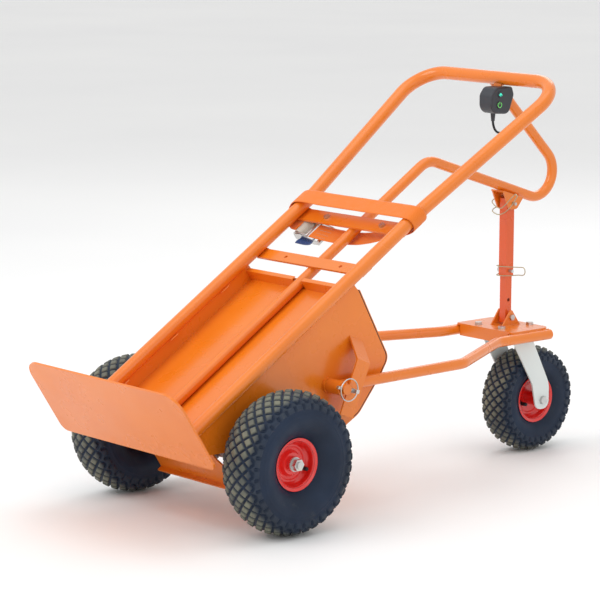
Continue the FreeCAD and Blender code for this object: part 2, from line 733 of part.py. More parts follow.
def castor_fork():
    """Pressed fork: a crown under the swivel and two raked legs."""
    crown_low = FORK_TOP - FORK_CROWN_T
    out = FORK_X + FORK_T
    points = [(-out, POST_Y - 34), (out, POST_Y - 34), (out, POST_Y + 34), (-out, POST_Y + 34)]
    fork = sheet_z(points, [10.0] * 4, crown_low, FORK_TOP)
    leg = [(POST_Y - 34, FORK_TOP), (POST_Y + 34, FORK_TOP), (CASTOR_Y + 22, CASTOR_Z + 40),
           (CASTOR_Y + 22, CASTOR_Z - 22), (CASTOR_Y - 22, CASTOR_Z - 22), (CASTOR_Y - 36, CASTOR_Z + 44)]
    for side in (-1, 1):
        x = side * FORK_X
        fork = fork.fuse(sheet_x(leg, [0, 0, 60.0, 20.0, 20.0, 60.0], x, x + side * FORK_T))
    fork = fork.cut(bar_z(8.0, crown_low - 1, FORK_TOP + 1, 0, POST_Y))
    fork = fork.cut(bar_x(6.0, -80, 80, CASTOR_Y, CASTOR_Z))
    return solids_of(fork)


def kingpin():
    """Swivel pin, fixed in the fork crown and running in the top plate."""
    low = FORK_TOP - FORK_CROWN_T
    pin = bar_z(8.0, low, CASTOR_TOP - 2, 0, POST_Y)
    return solids_of(pin.fuse(hexagon(24.0, 0, POST_Y, low - 10, 10.0, "z")))


def castor_axle():
    """Axle bolt across the fork, two spacer tubes and the nut."""
    out = FORK_X + FORK_T
    shank = bar_x(6.0, -out - 14, out, CASTOR_Y, CASTOR_Z)
    bolt = shank.fuse(hexagon(19.0, out, CASTOR_Y, CASTOR_Z, 7.5, "x"))
    nut = hexagon(19.0, -out - 10, CASTOR_Y, CASTOR_Z, 10.0, "x").cut(bar_x(6.0, -90, 0, CASTOR_Y, CASTOR_Z))
    pieces = [solids_of(bolt), nut]
    for side in (-1, 1):
        a = side * (CASTOR_HUB + GAP)
        b = side * FORK_X
        pieces.append(ring_x(9.0, 6.0, min(a, b), max(a, b), CASTOR_Y, CASTOR_Z))
    return group(pieces)


CASTOR_HUB = 42.0


def castor_hub():
    """Hub barrel with the bearings' bore, welded through the rim's disc."""
    return ring_x(HUB_R, 6.0 + RUNNING_FIT, -CASTOR_HUB, CASTOR_HUB, CASTOR_Y, CASTOR_Z)


# ---- telescopic post --------------------------------------------------------------------
LOWER_W = 20.0
UPPER_W = 25.0
POST_WALL = 2.0
LOWER_TOP = 568.0
UPPER_FOOT = 444.0


def square_tube(width, z0, z1, hollow):
    body = block(-width / 2, width / 2, POST_Y - width / 2, POST_Y + width / 2, z0, z1)
    h = hollow / 2
    return body.cut(block(-h, h, POST_Y - h, POST_Y + h, z0 - 1, z1 + 1))


def lower_post():
    """Inner tube: foot hole, one free hole and the run that the locking pin travels in."""
    post = square_tube(LOWER_W, STEER_Z + 6, LOWER_TOP, LOWER_W - 2 * POST_WALL)
    post = post.cut(bar_x(PIN_R + RUNNING_FIT, -20, 20, POST_Y, CLEVIS_Z))
    post = post.cut(bar_x(PIN_R + 0.4, -20, 20, POST_Y, MID_PIN_Z - 72))
    r = PIN_R + 0.6
    slot = bar_x(r, -20, 20, POST_Y, MID_PIN_Z).fuse(bar_x(r, -20, 20, POST_Y, MID_PIN_Z + POST_TRAVEL + 1))
    slot = slot.fuse(block(-20, 20, POST_Y - r, POST_Y + r, MID_PIN_Z, MID_PIN_Z + POST_TRAVEL + 1))
    return post.cut(slot).Solids[0]


TOP_CLEAR = 1.2


def upper_post():
    """Outer tube; its top hole is wide, so that the pin lets the post lean as it lengthens."""
    post = square_tube(UPPER_W, UPPER_FOOT, TOP_PIN_Z + 12, UPPER_W - 2 * POST_WALL)
    post = post.cut(bar_x(PIN_R + 0.2, -20, 20, POST_Y, MID_PIN_Z))
    return post.cut(bar_x(PIN_R + TOP_CLEAR, -20, 20, POST_Y, TOP_PIN_Z)).Solids[0]


def lock_pin(z, reach):
    """Smooth pin with a flat head drilled for its wire."""
    pin = bar_x(PIN_R, -reach, reach + 6, POST_Y, z)
    head = bar_x(7.0, -reach - 7, -reach, POST_Y, z)
    return solids_of(pin.fuse(head).cut(bar_z(1.6, z - 10, z + 10, -reach - 3.5, POST_Y)))


WIRE_R = 1.25


def wire_clip(z, reach, length, front):
    """Spring wire loop: pinned through the head, it lies along the post's front face."""
    hinge_x = -reach - 3.5
    y = POST_Y - front
    low = Vector(hinge_x, POST_Y, z - 3)
    points = [low, Vector(hinge_x, POST_Y, z - 11), Vector(hinge_x, y, z - 11), Vector(length, y, z - 11),
              Vector(length, y, z + 11), Vector(hinge_x, y, z + 11), Vector(hinge_x, POST_Y, z + 11),
              Vector(hinge_x, POST_Y, z + 3)]
    return rod(points, [3.0, 3.5, 5.0, 5.0, 3.5, 3.0], WIRE_R)


# ---- linch pins -------------------------------------------------------------------------
RING_R = 25.0


def linch_pin(side):
    """Pin through the end of the pivot shaft, and the ring that lies over the shaft's end."""
    x = side * LINCH_X
    ring_x_at = side * (SHAFT_END + 6.0)
    pin = Part.makeCylinder(PIN_R, 50, Vector(x, PIVOT_Y - 24, PIVOT_Z), Vector(0, 1, 0))
    head = Part.makeCylinder(5.5, 12, Vector(x, PIVOT_Y + 18, PIVOT_Z), Vector(0, 1, 0))
    a = min(x, ring_x_at)
    lug = block(a, a + abs(ring_x_at - x) + 2, PIVOT_Y + 20, PIVOT_Y + 29, PIVOT_Z - 4, PIVOT_Z + 4)
    if side < 0:
        lug.translate(Vector(-2, 0, 0))
    body = pin.fuse([head, lug])
    ring = Part.makeTorus(RING_R, 1.5, Vector(ring_x_at, PIVOT_Y, PIVOT_Z), Vector(1, 0, 0))
    body = body.cut(Part.makeTorus(RING_R, 1.8, Vector(ring_x_at, PIVOT_Y, PIVOT_Z), Vector(1, 0, 0)))
    pieces = [max(body.Solids, key=lambda s: s.Volume), ring]
    shape = group(pieces)
    shape.rotate(Vector(0, PIVOT_Y, PIVOT_Z), Vector(1, 0, 0), LINCH_TILT)
    return shape


# ---- switch pod -------------------------------------------------------------------------
# The pod hangs under the crossbar beside the centre tube and faces the truck's left side.
BAR_Y = TOE_Y + HANDLE_S * cos(radians(LEAN)) - HANDLE_LIFT * sin(radians(LEAN))
BAR_Z = TOE_Z + HANDLE_S * sin(radians(LEAN)) + HANDLE_LIFT * cos(radians(LEAN))
POD_Y = BAR_Y - 16.0
POD_Z = BAR_Z - 51.0
POD_BACK = 15.0
POD_SPLIT = 36.0
POD_FACE = 59.0
POD_SHAPE = [(-40.0, -30.0), (20.0, -34.0), (37.0, 12.0), (30.0, 32.0), (-25.0, 32.0), (-40.0, 14.0)]
POD_ROUND = [24.0, 18.0, 14.0, 8.0, 16.0, 18.0]
POD_WALL = 2.5
TAB_X = (19.0, 43.0)
TAB_Y = (BAR_Y - 10.0, BAR_Y - 6.0)


def switch_tab():
    """Small lug under the crossbar that the pod is screwed to."""
    tab = block(TAB_X[0], TAB_X[1], TAB_Y[0], TAB_Y[1], BAR_Z - 34, BAR_Z)
    return tab.cut(bar_x(RAIL_OD / 2, -100, 100, BAR_Y, BAR_Z)).Solids[0]


def pod_slab(shrink, x0, x1):
    points = [(POD_Y + y * (1 - shrink / 36), POD_Z + z * (1 - shrink / 33)) for y, z in POD_SHAPE]
    return sheet_x(points, [r - shrink for r in POD_ROUND], x0, x1)


def pod_shell(outer_x, seam_x):
    """Half shell with a rounded rim, slotted for the lug."""
    low = min(outer_x, seam_x)
    high = max(outer_x, seam_x)
    inward = 1 if seam_x > outer_x else -1
    shell = pod_slab(0.0, low, high)
    face = [f for f in shell.Faces if abs(f.CenterOfMass.x - outer_x) < 0.01][0]
    shell = shell.makeFillet(5.0, face.Edges)
    a = outer_x + inward * POD_WALL
    b = seam_x + inward
    shell = shell.cut(pod_slab(POD_WALL, min(a, b), max(a, b)))
    slot = block(TAB_X[0] - 0.2, TAB_X[1] + 0.2, TAB_Y[0] - 0.2, TAB_Y[1] + 0.2, BAR_Z - 34.2, BAR_Z)
    return shell.cut(slot)


POWER_AT = (POD_Y - 14.0, POD_Z - 10.0)
DRIVE_AT = (POD_Y - 11.5, POD_Z + 14.5)
POWER_R = 8.5
DRIVE_R = 7.5
RELIEF_AT = Vector(34.0, POD_Y - 2, POD_Z - 30)
CABLE_R = 2.8


def pod_front():
    """Front shell of the pod, with a hole for each button."""
    shell = pod_shell(POD_FACE, POD_SPLIT)
    shell = shell.cut(bar_x(POWER_R + 0.35, POD_SPLIT, POD_FACE + 5, *POWER_AT))
    shell = shell.cut(bar_x(DRIVE_R + 0.35, POD_SPLIT, POD_FACE + 5, *DRIVE_AT))
    return max(shell.Solids, key=lambda s: s.Volume)


def pod_back():
    """Back shell of the pod, with the cable outlet at its foot."""
    shell = pod_shell(POD_BACK, POD_SPLIT)
    x = 26.0
    relief = Part.makeCone(6.5, 4.2, 22, Vector(x, RELIEF_AT.y, RELIEF_AT.z), Vector(0, 0, -1))
    shell = shell.fuse(relief)
    bore = Part.makeCylinder(CABLE_R, 50, Vector(x, RELIEF_AT.y, RELIEF_AT.z + 12), Vector(0, 0, -1))
    shell = shell.cut(bore)
    return max(shell.Solids, key=lambda s: s.Volume)


def button(at, radius):
    """Round key that sits proud of the front shell."""
    y, z = at
    cap = bar_x(radius, POD_FACE - 6.0, POD_FACE + 1.6, y, z)
    edge = [e for e in cap.Edges if e.CenterOfMass.x > POD_FACE + 1.5]
    return solids_of(cap.makeFillet(0.8, edge))


def cable_route():
    """From the pod's outlet in a short sag to the back of the loop in the centre tube."""
    start = Vector(26.0, RELIEF_AT.y, RELIEF_AT.z - 22.3)
    return [start, start + Vector(0, 3, -24), start + Vector(-6, 42, -34), start + Vector(-14, 82, -22),
            Vector(0, BAR_Y + 110.5, BAR_Z - 125.5)]


def pod_cable():
    points = cable_route()
    radii = []
    for i in range(1, len(points) - 1):
        short = min((points[i] - points[i - 1]).Length, (points[i + 1] - points[i]).Length)
        half = (points[i - 1] - points[i]).getAngle(points[i + 1] - points[i]) / 2
        radii.append(0.45 * short * tan(half))
    print("cable radii", [round(r, 1) for r in radii])
    cable = rod(points, radii, CABLE_R)
    length = path(points, radii).Length
    print("cable length", round(length, 1), "volume / (section * length)",
          round(cable.Volume / (pi * CABLE_R ** 2 * length), 4))
    return cable


# ---- strap and ratchet ------------------------------------------------------------------
STRAP_W = 46.0
STRAP_T = 3.0
FRONT_S = 795.0           # middle of the webbing over the front of the rails
SPOOL_X = -160.0
SPOOL_S = 744.0
SPOOL_N = -37.0
ROLL_R = 12.0
BAR_X = -134.0            # fixed bar of the ratchet, where the webbing is sewn round
RATCHET_HALF = 26.0       # half the frame's width, measured along the rails
RATCHET_PIN_R = 4.0

# Middle line of the webbing: across, along and out of the rails. It leaves the roll, goes round
# the right rail, over the front and round the left rail, and comes back under the centre tube.
STRAP_LINE = [Vector(SPOOL_X - 3, SPOOL_S, SPOOL_N + ROLL_R + 2.2), Vector(-186, 749, -23.5),
              Vector(-199, 758, -17), Vector(-204.5, 768, -6), Vector(-204.5, 780, 6), Vector(-198, 790, 16),
              Vector(-186, FRONT_S, 19.4), Vector(-90, FRONT_S, 19.6), Vector(90, FRONT_S, 19.6),
              Vector(186, FRONT_S, 19.4), Vector(198, 797, 16), Vector(204.5, 798, 6), Vector(204.5, 798, -6),
              Vector(199, 797, -17), Vector(186, 795, -25), Vector(106, 778, -41), Vector(36, 760, -50.5),
              Vector(-20, 751, -50.5), Vector(-70, 746, -45), Vector(BAR_X + 8, SPOOL_S, SPOOL_N - 1)]


def strap_webbing():
    """Flat webbing swept along its line as a chain of straight-sided lengths."""
    rings = []
    count = len(STRAP_LINE)
    for i, at in enumerate(STRAP_LINE):
        before = STRAP_LINE[max(0, i - 1)]
        after = STRAP_LINE[min(count - 1, i + 1)]
        run = Vector(after.x - before.x, 0, after.z - before.z).normalize()
        out = Vector(-run.z, 0, run.x) * (STRAP_T / 2)
        half = Vector(0, STRAP_W / 2, 0)
        corners = [at + out - half, at + out + half, at - out + half, at - out - half]
        rings.append(Part.makePolygon(corners + [corners[0]]))
    return solids_of(Part.makeLoft(rings, True, True))


def pin_s(radius, half, x=SPOOL_X):
    """Cylinder along the rails, at the ratchet's height."""
    return Part.makeCylinder(radius, 2 * half, Vector(x, SPOOL_S - half, SPOOL_N), Vector(0, 1, 0))


def ratchet_frame():
    """Two cheeks of the strap's ratchet, joined by the bar that the webbing is sewn round."""
    a = SPOOL_S - RATCHET_HALF
    b = SPOOL_S + RATCHET_HALF
    cheek = [(SPOOL_X - 13, SPOOL_N - 11), (SPOOL_X + 6, SPOOL_N - 13), (BAR_X + 8, SPOOL_N - 7),
             (BAR_X + 8, SPOOL_N + 7), (SPOOL_X + 6, SPOOL_N + 11), (SPOOL_X - 13, SPOOL_N + 9)]
    radii = [8.0, 7.0, 6.0, 6.0, 7.0, 8.0]
    bar = pin_s(3.5, RATCHET_HALF, BAR_X)
    frame = bar.fuse([sheet_y(cheek, radii, a, a + 2), sheet_y(cheek, radii, b - 2, b)])
    return solids_of(frame.cut(pin_s(RATCHET_PIN_R + RUNNING_FIT, RATCHET_HALF + 5)))


def ratchet_spool():
    """Webbing wound on the ratchet's spool."""
    roll = pin_s(ROLL_R, RATCHET_HALF - 3)
    return solids_of(roll.cut(pin_s(RATCHET_PIN_R + RUNNING_FIT, RATCHET_HALF)))


def ratchet_handle():
    """Handle outside the frame: two cheeks on the pin, joined by a grip at the far end."""
    grip_x = SPOOL_X + 72
    low = SPOOL_N - 17
    cheek = [(SPOOL_X - 8, SPOOL_N - 9), (SPOOL_X - 8, SPOOL_N + 8), (SPOOL_X + 10, SPOOL_N + 8),
             (grip_x, low + 9), (grip_x, low), (grip_x - 20, low)]
    radii = [6.0, 6.0, 8.0, 3.0, 3.0, 10.0]
    near = RATCHET_HALF + 0.6
    far = near + 2.4
    handle = pin_s(RATCHET_PIN_R, far)
    for side in (-1, 1):
        a = SPOOL_S + side * near
        b = SPOOL_S + side * far
        handle = handle.fuse(sheet_y(cheek, radii, min(a, b), max(a, b)))
    grip = block(grip_x - 16, grip_x - 3, SPOOL_S - far, SPOOL_S + far, low, low + 5)
    return solids_of(handle.fuse(grip))


NODES = {
    "handle_frame": lambda: lean(handle_frame()),
    "centre_tube": centre_tube,
    "toe_plate": lambda: lean(toe_plate()),
    "side_plate_left": lambda: lean(side_plate()),
    "side_plate_right": lambda: lean(mirror_x(side_plate())),
    "deck_tray": lambda: lean(deck_tray()),
    "crossbars": lambda: lean(group([crossbar(LOWER_BAR_S, LOWER_BAR_W), crossbar(UPPER_BAR_S, UPPER_BAR_W)])),
    "crossbar_bolts": lambda: lean(crossbar_bolts()),
    "axle_carrier": lambda: lean(axle_carrier()),
    "bay_wall": lambda: lean(bay_wall()),
    "rear_cover": lambda: lean(rear_cover()),
    "cover_seals": lambda: lean(cover_seals()),
    "cover_screws": lambda: lean(cover_screws()),
    "pivot_shaft": pivot_shaft,
    "keeper_brackets": keeper_brackets,
    "post_bracket": post_bracket,
    "battery_pack": lambda: lean(battery_pack()),
    "motor_controller": lambda: lean(motor_controller()),
    "transaxle": transaxle,
    "drive_motor": drive_motor,
    "axle_bearings": axle_bearings,
    "outrigger_arm_left": outrigger_arm,
    "outrigger_arm_right": lambda: mirror_x(outrigger_arm()),
    "outrigger_plate": outrigger_plate,
    "clevis_ears": clevis_ears,
    "clevis_bolt": clevis_bolt,
    "castor_bolts": castor_bolts,
    "castor_plate": castor_plate,
    "castor_fork": castor_fork,
    "kingpin": kingpin,
    "castor_axle": castor_axle,
    "castor_hub": castor_hub,
    "castor_rim": lambda: rim(CASTOR_Y, CASTOR_Z, -1.2, HUB_R),
    "castor_tyre": lambda: tyre(CASTOR_OD / 2, CASTOR_WIDTH / 2, CASTOR_Y, CASTOR_Z),
    "lower_post": lower_post,
    "upper_post": upper_post,
    "post_pin": lambda: lock_pin(MID_PIN_Z, UPPER_W / 2 + 4),
    "post_clip": lambda: wire_clip(MID_PIN_Z, UPPER_W / 2 + 4, 62.0, 17.0),
    "top_pin": lambda: lock_pin(TOP_PIN_Z, EAR_IN + EAR_T + 3),
    "top_clip": lambda: wire_clip(TOP_PIN_Z, EAR_IN + EAR_T + 3, 40.0, 30.0),
    "linch_pin_left": lambda: linch_pin(1),
    "linch_pin_right": lambda: linch_pin(-1),
    "switch_tab": switch_tab,
    "pod_front": pod_front,
    "pod_back": pod_back,
    "power_button": lambda: button(POWER_AT, POWER_R),
    "drive_button": lambda: button(DRIVE_AT, DRIVE_R),
    "pod_cable": pod_cable,
    "strap_webbing": lambda: lean(strap_webbing()),
    "ratchet_frame": lambda: lean(ratchet_frame()),
    "ratchet_spool": lambda: lean(ratchet_spool()),
    "ratchet_handle": lambda: lean(ratchet_handle()),
}

for node, make in NODES.items():
    save(node, make())
drive_wheel(1, "left")
drive_wheel(-1, "right")
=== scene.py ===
"""Looks of the battery-powered hand truck: materials, tyres, webbing, welds, small fittings and the studio."""
import bpy
import json
import math
from math import cos, pi, radians, sin
from mathutils import Matrix, Vector, noise


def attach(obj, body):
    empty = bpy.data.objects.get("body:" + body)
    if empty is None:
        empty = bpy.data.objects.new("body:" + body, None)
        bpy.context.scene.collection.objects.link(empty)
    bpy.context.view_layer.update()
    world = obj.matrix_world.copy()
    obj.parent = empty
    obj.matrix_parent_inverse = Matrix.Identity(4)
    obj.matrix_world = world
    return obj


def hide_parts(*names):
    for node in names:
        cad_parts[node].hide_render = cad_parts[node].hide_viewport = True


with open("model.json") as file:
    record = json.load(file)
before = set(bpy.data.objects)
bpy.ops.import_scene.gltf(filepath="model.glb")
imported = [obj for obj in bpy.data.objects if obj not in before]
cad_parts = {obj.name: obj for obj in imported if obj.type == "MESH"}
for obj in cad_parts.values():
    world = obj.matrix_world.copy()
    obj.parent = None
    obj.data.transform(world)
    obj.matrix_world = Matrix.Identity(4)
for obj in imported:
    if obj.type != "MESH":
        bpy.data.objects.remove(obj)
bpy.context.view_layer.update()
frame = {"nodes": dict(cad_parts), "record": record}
NODES = frame["nodes"]

LEAN = radians(32.5)
ALONG = Vector((0, cos(LEAN), sin(LEAN)))
OUT = Vector((0, -sin(LEAN), cos(LEAN)))
FOOT = Vector((0, -0.6446, 0.2175))


def truck(x, s, n):
    """Millimetres across, along and out of the rails to a point in the frame."""
    return Vector((x / 1000, 0, 0)) + FOOT + ALONG * (s / 1000) + OUT * (n / 1000)


# ---- camera ------------------------------------------------------------------------------
def make_camera():
    data = bpy.data.cameras.new("camera")
    data.sensor_width = 36.0
    data.lens = 165.05
    data.clip_end = 100.0
    camera = bpy.data.objects.new("camera", data)
    bpy.context.scene.collection.objects.link(camera)
    azimuth, elevation, roll = radians(49.07), radians(9.475), radians(0.217)
    back = Vector((sin(azimuth) * cos(elevation), -cos(azimuth) * cos(elevation), sin(elevation)))
    right = Vector((cos(azimuth), sin(azimuth), 0))
    up = back.cross(right)
    x = right * cos(roll) + up * sin(roll)
    y = up * cos(roll) - right * sin(roll)
    turn = Matrix((x, y, back)).transposed().to_4x4()
    camera.matrix_world = Matrix.Translation((4.6887, -4.2156, 1.4888)) @ turn
    bpy.context.scene.camera = camera


make_camera()


# ---- node helpers ------------------------------------------------------------------------
class Tree:
    """Short hand for building one material's nodes."""

    def __init__(self, name):
        self.material = bpy.data.materials.new(name)
        self.material.use_nodes = True
        self.tree = self.material.node_tree
        self.shader = self.tree.nodes["Principled BSDF"]

    def node(self, kind, **settings):
        made = self.tree.nodes.new(kind)
        for key, value in settings.items():
            setattr(made, key, value)
        return made

    def link(self, a, b):
        self.tree.links.new(a, b)

    def set(self, **values):
        for key, value in values.items():
            self.shader.inputs[key.replace("_", " ")].default_value = value

    def place(self, scale=(1, 1, 1), turn=(0, 0, 0), what="Object"):
        coords = self.node("ShaderNodeTexCoord")
        mapping = self.node("ShaderNodeMapping")
        mapping.inputs["Scale"].default_value = scale
        mapping.inputs["Rotation"].default_value = turn
        self.link(coords.outputs[what], mapping.inputs["Vector"])
        return mapping.outputs[0]

    def noise(self, scale, detail=3.0, rough=0.5, at=None):
        made = self.node("ShaderNodeTexNoise")
        made.inputs["Scale"].default_value = scale
        made.inputs["Detail"].default_value = detail
        made.inputs["Roughness"].default_value = rough
        self.link(at or self.place(), made.inputs["Vector"])
        return made.outputs["Fac"]

    def ramp(self, value, *stops):
        made = self.node("ShaderNodeValToRGB")
        ramp = made.color_ramp
        while len(ramp.elements) < len(stops):
            ramp.elements.new(0.5)
        for element, (place, colour) in zip(ramp.elements, stops):
            element.position = place
            element.color = colour if len(colour) == 4 else (*colour, 1)
        self.link(value, made.inputs["Fac"])
        return made.outputs["Color"]

    def span(self, value, low, high, start=0.3, end=0.7):
        made = self.node("ShaderNodeMapRange")
        made.inputs["From Min"].default_value = start
        made.inputs["From Max"].default_value = end
        made.inputs["To Min"].default_value = low
        made.inputs["To Max"].default_value = high
        self.link(value, made.inputs["Value"])
        return made.outputs[0]

    def mix(self, factor, a, b, blend="MIX"):
        made = self.node("ShaderNodeMix", data_type="RGBA", blend_type=blend)
        self.link(factor, made.inputs["Factor"])
        for value, socket in ((a, made.inputs["A"]), (b, made.inputs["B"])):
            if isinstance(value, tuple):
                socket.default_value = (*value, 1)
            else:
                self.link(value, socket)
        return made.outputs["Result"]

    def bump(self, *layers):
        """Each layer is (height, strength, distance in metres)."""
        last = None
        for height, strength, distance in layers:
            made = self.node("ShaderNodeBump")
            made.inputs["Strength"].default_value = strength
            made.inputs["Distance"].default_value = distance
            self.link(height, made.inputs["Height"])
            if last is not None:
                self.link(last, made.inputs["Normal"])
            last = made.outputs["Normal"]
        self.link(last, self.shader.inputs["Normal"])

    def colour(self, socket):
        self.link(socket, self.shader.inputs["Base Color"])

    def rough(self, socket):
        self.link(socket, self.shader.inputs["Roughness"])


def paint(name, light, dark, gloss=0.3, coat=0.35):
    """Sprayed paint: faint orange peel, cloudy tone, hairline scuffs and worn patches."""
    t = Tree(name)
    cloud = t.noise(5.0, 4.0)
    tone = t.mix(t.span(cloud, 0, 1), dark, light)
    scratch = t.noise(60.0, 6.0, 0.7, t.place((1, 14, 14), (0.3, 0.5, 0.9)))
    scuff = t.ramp(scratch, (0.70, (0, 0, 0)), (0.76, (1, 1, 1)))
    patch = t.ramp(t.noise(3.0, 2.0), (0.52, (0, 0, 0)), (0.68, (0.35, 0.35, 0.35)))
    worn = t.mix(scuff, (0, 0, 0), patch)
    paler = tuple(min(1.0, c * 1.25 + 0.05) for c in light)
    t.colour(t.mix(worn, tone, paler))
    t.rough(t.span(t.noise(14.0, 5.0), gloss * 0.8, gloss * 1.35))
    t.bump((t.noise(900.0, 2.0), 0.10, 0.0002), (t.noise(70.0, 2.0), 0.06, 0.0006))
    t.set(Coat_Weight=coat, Coat_Roughness=0.12, Specular_IOR_Level=0.5)
    return t.material


def zinc(name, colour, rough=0.3):
    """Plated steel: fine grain, dull patches and faint blue and yellow of the passivation."""
    t = Tree(name)
    tint = t.ramp(t.noise(40.0, 3.0), (0.3, colour), (0.55, tuple(c * 0.92 for c in colour)),
                  (0.75, (colour[0] * 1.05, colour[1], colour[2] * 0.88)))
    t.colour(tint)
    t.rough(t.span(t.noise(120.0, 4.0), rough * 0.7, rough * 1.5))
    t.bump((t.noise(1500.0, 3.0, 0.6, t.place((1, 6, 6))), 0.12, 0.0001))
    t.set(Metallic=1.0)
    return t.material


def rubber(name, colour, dust):
    """Moulded rubber; the tread attribute carries the dust on the block tops."""
    t = Tree(name)
    base = t.mix(t.span(t.noise(9.0, 5.0), 0, 1), tuple(c * 0.75 for c in colour), tuple(c * 1.3 for c in colour))
    tread = t.node("ShaderNodeAttribute", attribute_name="tread").outputs["Fac"]
    uneven = t.node("ShaderNodeMath", operation="MULTIPLY")
    t.link(tread, uneven.inputs[0])
    t.link(t.span(t.noise(16.0, 4.0), 0.35, 1.0), uneven.inputs[1])
    smear = t.ramp(t.noise(30.0, 6.0, 0.7), (0.62, (0, 0, 0)), (0.78, (0.16, 0.16, 0.16)))
    t.colour(t.mix(uneven.outputs[0], t.mix(smear, base, dust), dust))
    t.rough(t.span(t.noise(25.0, 4.0), 0.42, 0.62))
    t.bump((t.noise(700.0, 3.0), 0.15, 0.0003), (t.noise(45.0, 3.0), 0.10, 0.001))
    t.set(Specular_IOR_Level=0.28)
    return t.material


def plastic(name, colour, rough=0.45, glow=0.0):
    """Moulded plastic with a fine spark-eroded grain."""
    t = Tree(name)
    t.colour(t.mix(t.span(t.noise(20.0, 3.0), 0, 1), tuple(c * 0.85 for c in colour), colour))
    t.rough(t.span(t.noise(60.0, 4.0), rough * 0.85, rough * 1.2))
    t.bump((t.noise(1800.0, 2.0), 0.25, 0.00015))
    if glow:
        t.set(Emission_Color=(*colour, 1), Emission_Strength=glow)
    return t.material


def webbing(name, colour, dark, ribs=1.0):
    """Woven strap: weft ribs across, warp ends along, from the strap's own UV map in metres."""
    t = Tree(name)
    across = t.node("ShaderNodeTexWave", wave_type="BANDS", bands_direction="X")
    across.inputs["Scale"].default_value = 190.0 * ribs
    t.link(t.place(what="UV"), across.inputs["Vector"])
    along = t.node("ShaderNodeTexWave", wave_type="BANDS", bands_direction="Y")
    along.inputs["Scale"].default_value = 260.0 * ribs
    along.inputs["Distortion"].default_value = 1.0
    t.link(t.place(what="UV"), along.inputs["Vector"])
    weave = t.node("ShaderNodeMath", operation="MULTIPLY")
    t.link(across.outputs["Fac"], weave.inputs[0])
    t.link(along.outputs["Fac"], weave.inputs[1])
    tone = t.mix(weave.outputs[0], dark, colour)
    soil = t.ramp(t.noise(14.0, 5.0, 0.6), (0.5, (0, 0, 0)), (0.8, (0.3, 0.3, 0.3)))
    t.colour(t.mix(soil, tone, dark))
    t.rough(t.span(t.noise(50.0, 3.0), 0.55, 0.75))
    t.bump((weave.outputs[0], 0.5, 0.0004), (t.noise(25.0, 3.0), 0.15, 0.002))
    t.set(Sheen_Weight=0.25, Sheen_Roughness=0.4, Specular_IOR_Level=0.3)
    return t.material


def cast(name, colour):
    """Sand-cast alloy: grainy and dull."""
    t = Tree(name)
    t.colour(t.mix(t.span(t.noise(30.0, 5.0), 0, 1), tuple(c * 0.7 for c in colour), colour))
    t.rough(t.span(t.noise(90.0, 5.0), 0.4, 0.7))
    t.bump((t.noise(400.0, 4.0), 0.35, 0.0006))
    t.set(Metallic=0.85)
    return t.material


MATERIALS = {
    "orange_paint": paint("orange_paint", (0.83, 0.212, 0.010), (0.77, 0.182, 0.007), 0.28, 0.40),
    "red_paint": paint("red_paint", (0.80, 0.018, 0.012), (0.70, 0.012, 0.010), 0.2, 0.7),
    "grey_paint": paint("grey_paint", (0.74, 0.79, 0.77), (0.66, 0.71, 0.70), 0.4, 0.15),
    "zinc": zinc("zinc", (0.62, 0.62, 0.61)),
    "tyre": rubber("tyre", (0.0085, 0.0185, 0.042), (0.20, 0.20, 0.145)),
    "rubber": rubber("rubber", (0.012, 0.013, 0.016), (0.05, 0.05, 0.05)),
    "pod_plastic": plastic("pod_plastic", (0.036, 0.040, 0.050), 0.42),
    "power_key": plastic("power_key", (0.030, 0.034, 0.042), 0.35),
    "drive_key": plastic("drive_key", (0.034, 0.040, 0.048), 0.3),
    "webbing": webbing("webbing", (0.96, 0.27, 0.028), (0.78, 0.17, 0.014)),
    "roll_webbing": webbing("roll_webbing", (0.78, 0.76, 0.68), (0.50, 0.47, 0.40), 0.5),
    "battery_case": plastic("battery_case", (0.02, 0.022, 0.025), 0.5),
    "cast_alloy": cast("cast_alloy", (0.55, 0.56, 0.57)),
    "motor_case": paint("motor_case", (0.03, 0.032, 0.036), (0.022, 0.024, 0.028), 0.4, 0.1),
}
POST_PAINT = paint("post_paint", (0.78, 0.108, 0.006), (0.72, 0.090, 0.005), 0.30, 0.35)
YELLOW_ZINC = zinc("yellow_zinc", (0.52, 0.46, 0.31), 0.34)
GREEN_LIGHT = plastic("green_light", (0.16, 0.72, 0.14), 0.3, 0.7)
TEAL_LIGHT = plastic("teal_light", (0.04, 0.62, 0.44), 0.3, 0.8)
BLUE_TAG = webbing("blue_tag", (0.03, 0.09, 0.28), (0.02, 0.05, 0.18), 1.6)

# The rubber slot's near-black colour also goes on the cover seals: dark strips along the rear cover's edges that
# stand for the shadow gap there, painted shade.
for part in frame["record"]["subparts"]:
    node = NODES[part["node"]]
    node.data.materials.clear()
    node.data.materials.append(MATERIALS[part["material_slot"]])
for tube in ("lower_post", "upper_post"):
    NODES[tube].data.materials[0] = POST_PAINT


# ---- mesh helpers ------------------------------------------------------------------------
def mesh_object(name, points, faces, slot, body, material=None):
    mesh = bpy.data.meshes.new(name)
    mesh.from_pydata([tuple(p) for p in points], [], faces)
    mesh.validate()
    mesh.polygons.foreach_set("use_smooth", [True] * len(mesh.polygons))
    mesh.materials.append(material or MATERIALS[slot])
    made = bpy.data.objects.new(name, mesh)
    bpy.context.scene.collection.objects.link(made)
    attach(made, body)
    return made


def grid_faces(rows, columns, wrap_rows=False, wrap_columns=False):
    faces = []
    for i in range(rows if wrap_rows else rows - 1):
        for j in range(columns if wrap_columns else columns - 1):
            a, b = i * columns + j, i * columns + (j + 1) % columns
            c, d = ((i + 1) % rows) * columns + (j + 1) % columns, ((i + 1) % rows) * columns + j
            faces.append((a, b, c, d))
    return faces


